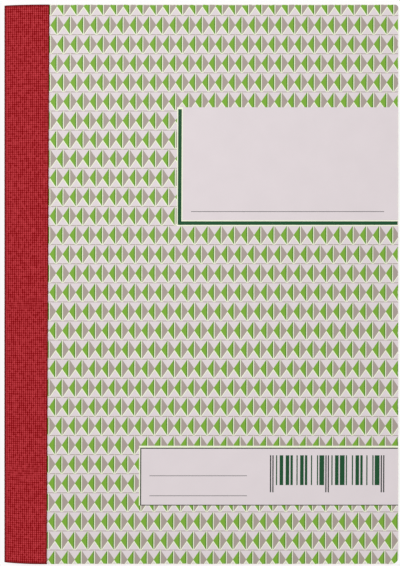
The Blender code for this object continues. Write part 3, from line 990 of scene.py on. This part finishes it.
def tape_point(along, height):
    """Point at a length from the tape's back edge, and at a height above its outer side."""
    from_edge = min(along, TAPE_GIRTH - along)
    turn = SQUEEZE_SLOPE + min(max(from_edge - TAPE_STRAIGHT, 0.0), TAPE_ROUND) / TAPE_RADIUS
    normal = Vector((-math.sin(turn), math.cos(turn)))
    back = max(TAPE_STRAIGHT - from_edge, 0.0)
    down = max(from_edge - TAPE_STRAIGHT - TAPE_ROUND, 0.0)
    place = normal * (TAPE_RADIUS + height)
    place.x += ROUNDING_X + back * math.cos(SQUEEZE_SLOPE)
    place.y += ROUNDING_Z + back * math.sin(SQUEEZE_SLOPE) - down
    if along < TAPE_GIRTH / 2:
        place.y = 2 * MIDDLE_Z - place.y
    return place


def thread_height(along, y, cloth, warp, weft):
    """Height of the weave at a place on the flat cloth, from its highest thread downwards."""
    crest = (WARP_CREST * math.cos(math.tau * along / warp)
             + WEFT_CREST * math.cos(math.tau * y / weft))
    over = math.cos(math.pi * along / warp) * math.cos(math.pi * y / weft)
    highest = CREST_RELIEF + CROSSING_RELIEF
    depth = highest - CREST_RELIEF * crest - CROSSING_RELIEF * over
    return -cloth.relief * depth / (highest + CREST_RELIEF)


def wander(along, y):
    """How far a warp thread and a weft thread lie off their even places."""
    inside = smooth(min(along, TAPE_GIRTH - along) / EDGE_HOLD)
    off_end = smooth((HEAD_Y - abs(y)) / EDGE_HOLD)
    across = noise.noise(Vector((along / WARP_WAVES[0], y / WARP_WAVES[1], 0.0)))
    lengthways = noise.noise(Vector((along / WEFT_WAVES[0], y / WEFT_WAVES[1], 9.0)))
    return THREAD_WANDER * across * inside, THREAD_WANDER * lengthways * off_end


def glued(along, y):
    """Place round the spine and along it of a place on the flat cloth, which was glued askew."""
    across, lengthways = wander(along, y)
    edge_shift = TAPE_SHIFT + TAPE_SKEW * y / HEAD_Y
    steps = sum(smooth((start - y) / run) for start, run in THREAD_STEPS)
    inside = smooth(min(along, TAPE_GIRTH - along) / EDGE_RUN)
    shift = edge_shift + inside * (THREAD_SHIFT - THREAD_STEP * steps - edge_shift)
    return along + across + shift, y + lengthways


class COPYBOOK_OT_spine_tape(bpy.types.Operator):
    """Cloth tape glued round the spine"""

    bl_idname = "copybook.spine_tape"
    bl_label = "Spine tape"

    def execute(self, context):
        cloth = context.scene.copy_book_cloth
        warp, weft = thread_spacings(cloth)
        bpy.ops.object.select_all(action="DESELECT")
        bpy.ops.mesh.primitive_grid_add(x_subdivisions=2 * round(TAPE_GIRTH / warp), size=1.0,
                                        y_subdivisions=2 * round(BOOK_LENGTH / weft),
                                        location=(0.5, 0.0, 0.0))
        tape = bpy.context.active_object
        tape.name = "cloth_spine_tape"
        tape.data.name = tape.name
        bpy.ops.object.transform_apply()
        tape.scale = (TAPE_GIRTH, BOOK_LENGTH, 1.0)
        bpy.ops.object.transform_apply()
        keep_flat_place(tape)
        flat = [point.co.copy() for point in tape.data.vertices]
        wrap_tape(tape)
        apply_modifier(tape, "SOLIDIFY", thickness=TAPE_THICKNESS, offset=-1.0)
        raise_threads(tape, flat, cloth)
        plain_inside(tape, len(flat))
        tape.data.materials.clear()
        tape.data.materials.append(book_cloth())
        smooth_bends(tape, degrees=60)
        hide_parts("spine_tape")
        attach(tape, "bound_block")
        return {"FINISHED"}


def wrap_tape(tape):
    """Lay the flat cloth round the spine."""
    for point in tape.data.vertices:
        along, y = glued(point.co.x, point.co.y)
        place = tape_point(along, 0.0)
        point.co = (place.x, trimmed(place.x, y), place.y)


def raise_threads(tape, flat, cloth):
    """Press the gaps of the weave into the outer side, whose points come first in the mesh."""
    warp, weft = thread_spacings(cloth)
    for point, place in zip(tape.data.vertices, flat):
        along = glued(place.x, place.y)[0]
        skin = tape_point(along, 0.0)
        pressed = tape_point(along, thread_height(place.x, place.y, cloth, warp, weft))
        point.co.x += pressed.x - skin.x
        point.co.z += pressed.y - skin.y


def plain_inside(tape, outer_count):
    """In edit mode, turn the glued side into as few faces as its bends allow."""
    bpy.ops.object.mode_set(mode="EDIT")
    shape = bmesh.from_edit_mesh(tape.data)
    bpy.ops.mesh.select_mode(type="FACE")
    bpy.ops.mesh.select_all(action="DESELECT")
    for face in shape.faces:
        face.select_set(all(point.index >= outer_count for point in face.verts))
    bmesh.update_edit_mesh(tape.data)
    bpy.ops.mesh.dissolve_limited(angle_limit=math.radians(2))
    bpy.ops.object.mode_set(mode="OBJECT")


class COPYBOOK_OT_stage(bpy.types.Operator):
    """Pale floor, soft studio light and the camera above the book"""

    bl_idname = "copybook.stage"
    bl_label = "Stage"

    def execute(self, context):
        add_floor()
        add_light()
        add_camera()
        return {"FINISHED"}


def seen_by_eye(add):
    """1 for rays from the camera, straight or by way of a mirror or glass, and 0 for the rest."""
    path = add("LightPath").node
    seen = path.outputs["Is Camera Ray"]
    for ray in ("Is Glossy Ray", "Is Transmission Ray"):
        seen = add("Math", (seen, path.outputs[ray]), operation="MAXIMUM")
    return seen


def add_floor():
    """White floor that keeps the book's soft shadow."""
    bpy.ops.object.select_all(action="DESELECT")
    bpy.ops.mesh.primitive_plane_add(size=6.0, location=(0.0, 0.0, -FLOOR_GAP))
    floor = bpy.context.active_object
    floor.name = "studio_floor"
    surface, add, shader = new_material("studio_floor")
    shader.inputs["Base Color"].default_value = rgba(bpy.context.scene.copy_book_paper.floor)
    shader.inputs["Roughness"].default_value = 0.9
    shader.inputs["Specular IOR Level"].default_value = 0.0
    floor.data.materials.append(surface)
    share = add("Math", (seen_by_eye(add), FLOOR_GLOW), operation="MULTIPLY")
    glow = add("Emission", {"Color": (1.0, 1.0, 1.0, 1.0)})
    mixed = add("MixShader", (share, shader.outputs[0], glow))
    tree = surface.node_tree
    tree.links.new(mixed, tree.nodes["Material Output"].inputs["Surface"])


def add_light():
    """Even light from all round, and one wide lamp over the head of the book."""
    world = bpy.data.worlds.new("soft_studio")
    world.use_nodes = True
    bpy.context.scene.world = world
    tree = world.node_tree
    add = partial(add_node, tree)
    background = tree.nodes["Background"]
    direction = add("TexCoord").node.outputs["Generated"]
    height = add("SeparateXYZ", (direction,)).node.outputs["Z"]
    lit = add("MapRange", {0: height, 3: WORLD_AT_HORIZON, 4: WORLD_OVERHEAD})
    strength = add("Mix", {0: seen_by_eye(add), 2: lit, 3: 1.0})
    background.inputs["Color"].default_value = (1.0, 1.0, 1.0, 1.0)
    tree.links.new(strength, background.inputs["Strength"])
    bpy.ops.object.light_add(type="AREA", location=LAMP_PLACE)
    lamp = bpy.context.active_object
    lamp.name = "wide_lamp"
    lamp.data.energy = LAMP_POWER
    lamp.data.size = LAMP_SIZE
    lamp.rotation_euler = (-Vector(LAMP_PLACE)).to_track_quat("-Z", "Y").to_euler()


def add_camera():
    """Camera straight above the book, with the head of the book at the top of the picture."""
    bpy.ops.object.camera_add(location=(CAMERA_X, CAMERA_Y, COVER_HIGH.z + CAMERA_DISTANCE),
                              rotation=(0.0, 0.0, 0.0))
    camera = bpy.context.active_object
    camera.name = "camera_above"
    picture_height = IMAGE_HEIGHT / PIXELS_PER_MM * MM
    camera.data.sensor_width = SENSOR_SIZE
    camera.data.lens = SENSOR_SIZE * CAMERA_DISTANCE / picture_height
    camera.data.dof.use_dof = False
    bpy.context.scene.camera = camera
    bpy.context.scene.view_settings.view_transform = "Standard"


OPERATORS = (
    COPYBOOK_OT_front_cover,
    COPYBOOK_OT_back_cover,
    COPYBOOK_OT_top_leaves,
    COPYBOOK_OT_lower_leaves,
    COPYBOOK_OT_writing_shield,
    COPYBOOK_OT_staples,
    COPYBOOK_OT_spine_tape,
    COPYBOOK_OT_stage,
)


GROUPS = {
    "copy_book_print": CopyBookPrint,
    "copy_book_cloth": CopyBookCloth,
    "copy_book_paper": CopyBookPaper,
}


class COPYBOOK_PT_panel(bpy.types.Panel):
    """Lists the pieces of the copy book"""

    bl_idname = "COPYBOOK_PT_panel"
    bl_label = "Copy Book"
    bl_space_type = "VIEW_3D"
    bl_region_type = "UI"
    bl_category = "Copy Book"

    def draw(self, context):
        layout = self.layout
        for name in GROUPS:
            settings = getattr(context.scene, name)
            box = layout.box()
            for key in settings.__annotations__:
                box.prop(settings, key)
        for operator in OPERATORS:
            layout.operator(operator.bl_idname)


def register():
    for group in GROUPS.values():
        bpy.utils.register_class(group)
    for name, group in GROUPS.items():
        setattr(bpy.types.Scene, name, bpy.props.PointerProperty(type=group))
    for operator in OPERATORS:
        bpy.utils.register_class(operator)
    bpy.utils.register_class(COPYBOOK_PT_panel)


def unregister():
    bpy.utils.unregister_class(COPYBOOK_PT_panel)
    for operator in reversed(OPERATORS):
        bpy.utils.unregister_class(operator)
    for name, group in GROUPS.items():
        delattr(bpy.types.Scene, name)
        bpy.utils.unregister_class(group)


def main():
    """Build every piece in order."""
    register()
    for operator in OPERATORS:
        group, name = operator.bl_idname.split(".")
        getattr(getattr(bpy.ops, group), name)()


if __name__ == "__main__":
    main()
